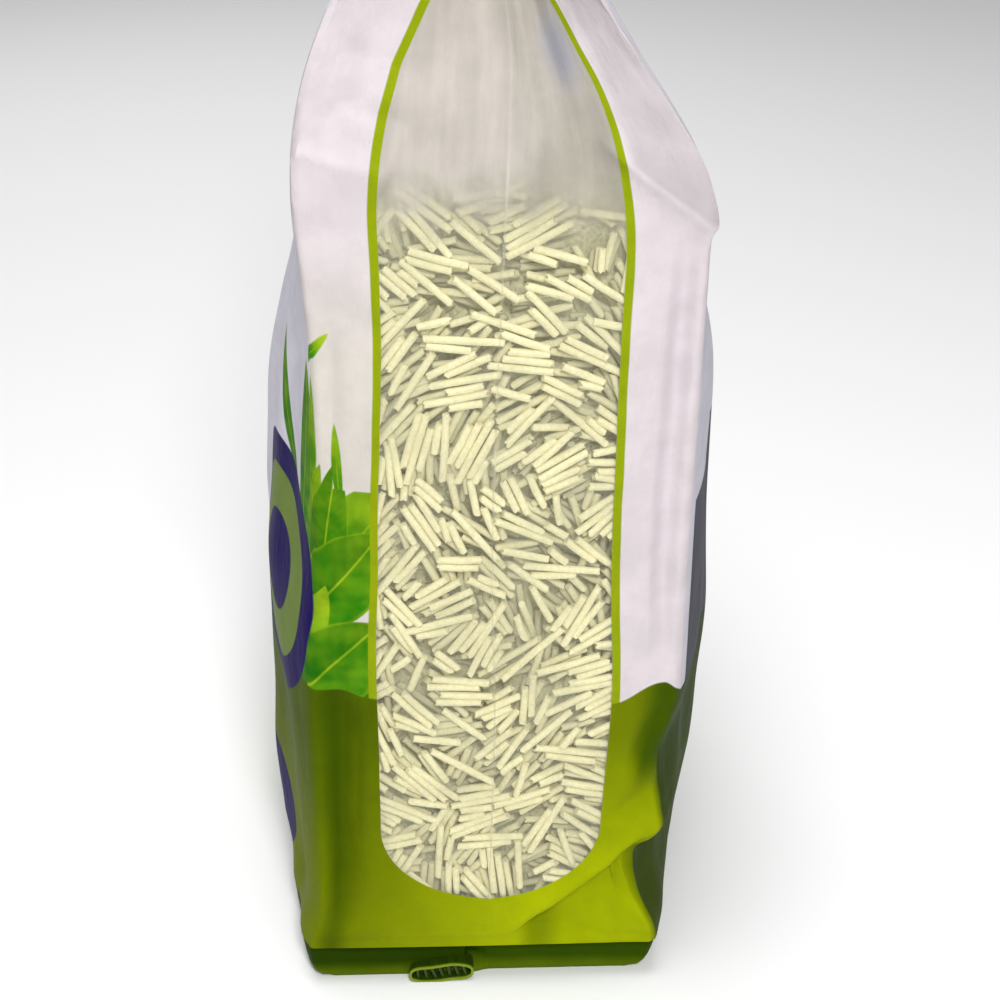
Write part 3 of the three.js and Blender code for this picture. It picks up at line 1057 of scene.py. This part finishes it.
class BagSettings(bpy.types.PropertyGroup):
    film_colour: FloatVectorProperty(
        name="Film colour", description="Colour of the unprinted opaque film",
        subtype="COLOR", size=4, min=0.0, max=1.0, default=WHITE_FILM)
    window_haze: FloatProperty(
        name="Window haze", description="How much the clear film hides the pellets that touch it",
        subtype="FACTOR", min=0.0, max=1.0, default=0.2)
    pellet_diameter: FloatProperty(
        name="Pellet diameter", description="Diameter of one pressed pellet",
        subtype="DISTANCE", unit="LENGTH", min=0.001, max=0.006, default=0.0023)
    pellet_tries: IntProperty(
        name="Pellet drops", description="How many pellets are dropped against the clear panel",
        min=10, max=6000, default=2600)
    seed: IntProperty(name="Seed", description="Start of the random numbers", min=0, default=11)


class BAG_OT_film(bpy.types.Operator):
    """Build the printed film bag"""

    bl_idname = "bag.film"
    bl_label = "Film bag"

    def execute(self, context):
        settings = context.scene.bag
        points, u, v = film_grid()
        vertices, faces = closed_skin(points)
        piece = add_mesh("film_skin", vertices, faces)
        write_film_map(piece, u, v)
        smooth_by_angle(piece, 38)
        piece.data.materials.append(printed_film(settings))
        piece.data.materials.append(window_film(settings))
        ring, column = np.nonzero(window_faces(u, v))
        slots = np.zeros(len(piece.data.polygons), np.int32)
        slots[ring * u.shape[1] + column] = 1
        piece.data.polygons.foreach_set("material_index", slots)
        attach(piece, "root")
        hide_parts("film_bag")
        return {"FINISHED"}


class BAG_OT_pellets(bpy.types.Operator):
    """Drop the pellets against the clear side panel"""

    bl_idname = "bag.pellets"
    bl_label = "Pellets"

    def execute(self, context):
        settings = context.scene.bag
        points, _, _ = film_grid()
        bed = PelletBed(settings, PELLETS_LOW, PELLETS_HIGH, PELLETS_HALF)
        bed.fill(settings.pellet_tries, PELLETS_DEEPEST)
        piece = pellet_piece("pellets", bed, points, settings)
        smooth_by_angle(piece, 50)
        piece.data.materials.append(pellet_material("pressed_fibre", PELLET_LIGHT, PELLET_DEEP))
        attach(piece, "root")
        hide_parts("litter_pellets")
        bulk = bulk_piece(points)
        smooth_by_angle(bulk, 60)
        # The lump takes the darker pellet tones as painted shade of the pellets that lie deeper.
        bulk.data.materials.append(pellet_material("pressed_fibre_bulk", PELLET_DEEP, PELLET_HAZE_AND_SHADE))
        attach(bulk, "root")
        return {"FINISHED"}


class BAG_OT_fins(bpy.types.Operator):
    """Model the two ends of the folded bottom seal"""

    bl_idname = "bag.fins"
    bl_label = "Seal ends"

    def execute(self, context):
        material = fin_material()
        for name, middle, side in (
            ("seal_end_window_side", (-17.0, -88.6, 0), 1),
            ("seal_end_far_side", (-17.0, 88.6, 0), -1),
        ):
            fin = fin_end(name, middle, side)
            smooth_by_angle(fin, 40)
            fin.data.materials.append(material)
            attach(fin, "root")
        return {"FINISHED"}


class BAG_OT_stage(bpy.types.Operator):
    """Set the floor, the lights and the camera"""

    bl_idname = "bag.stage"
    bl_label = "Stage"

    def execute(self, context):
        bpy.ops.object.select_all(action="DESELECT")
        bpy.ops.mesh.primitive_plane_add(size=6.0, location=(0, 0, 0))
        floor = context.object
        floor.name = "floor"
        r = Recipe("pale_floor")
        r.set(color=(0.94, 0.94, 0.94, 1), roughness=0.9)
        floor.data.materials.append(r.material)

        world = bpy.data.worlds.new("studio")
        context.scene.world = world
        world.use_nodes = True
        background = world.node_tree.nodes["Background"]
        background.inputs["Color"].default_value = (1, 1, 1, 1)
        background.inputs["Strength"].default_value = 0.26
        aim = Vector((0, 0, 0.16))
        for name, place, size, power in (
            ("key", (0.12, -1.05, 1.05), 0.3, 13.0),
            ("top", (-0.1, -0.2, 1.5), 0.8, 11.0),
            ("back", (-0.3, 1.1, 0.9), 0.7, 3.0),
        ):
            light = bpy.data.lights.new(name, "AREA")
            light.shape, light.size, light.energy = "DISK", size, power
            lamp = bpy.data.objects.new(name, light)
            lamp.location = place
            lamp.rotation_euler = (aim - Vector(place)).to_track_quat("-Z", "Y").to_euler()
            context.collection.objects.link(lamp)

        camera_data = bpy.data.cameras.new("camera")
        camera_data.lens = 69.2
        camera = bpy.data.objects.new("camera", camera_data)
        camera.location = (-0.014, -0.573, 0.4255)
        camera.rotation_euler = (math.radians(90 - 27.6), 0, math.radians(-1.9))
        context.collection.objects.link(camera)
        context.scene.camera = camera
        context.scene.view_settings.view_transform = "Standard"
        return {"FINISHED"}


class BAG_PT_panel(bpy.types.Panel):
    bl_idname = "BAG_PT_panel"
    bl_label = "Pellet bag"
    bl_space_type = "VIEW_3D"
    bl_region_type = "UI"
    bl_category = "Bag"

    def draw(self, context):
        layout = self.layout
        for name in ("film_colour", "window_haze", "pellet_diameter", "pellet_tries", "seed"):
            layout.prop(context.scene.bag, name)
        for operator in (BAG_OT_film, BAG_OT_pellets, BAG_OT_fins, BAG_OT_stage):
            layout.operator(operator.bl_idname)


CLASSES = (BagSettings, BAG_OT_film, BAG_OT_pellets, BAG_OT_fins, BAG_OT_stage, BAG_PT_panel)


def register():
    for cls in CLASSES:
        bpy.utils.register_class(cls)
    bpy.types.Scene.bag = PointerProperty(type=BagSettings)


def unregister():
    del bpy.types.Scene.bag
    for cls in reversed(CLASSES):
        bpy.utils.unregister_class(cls)


def main():
    register()
    bpy.ops.bag.film()
    bpy.ops.bag.pellets()
    bpy.ops.bag.fins()
    bpy.ops.bag.stage()


if __name__ == "__main__":
    main()
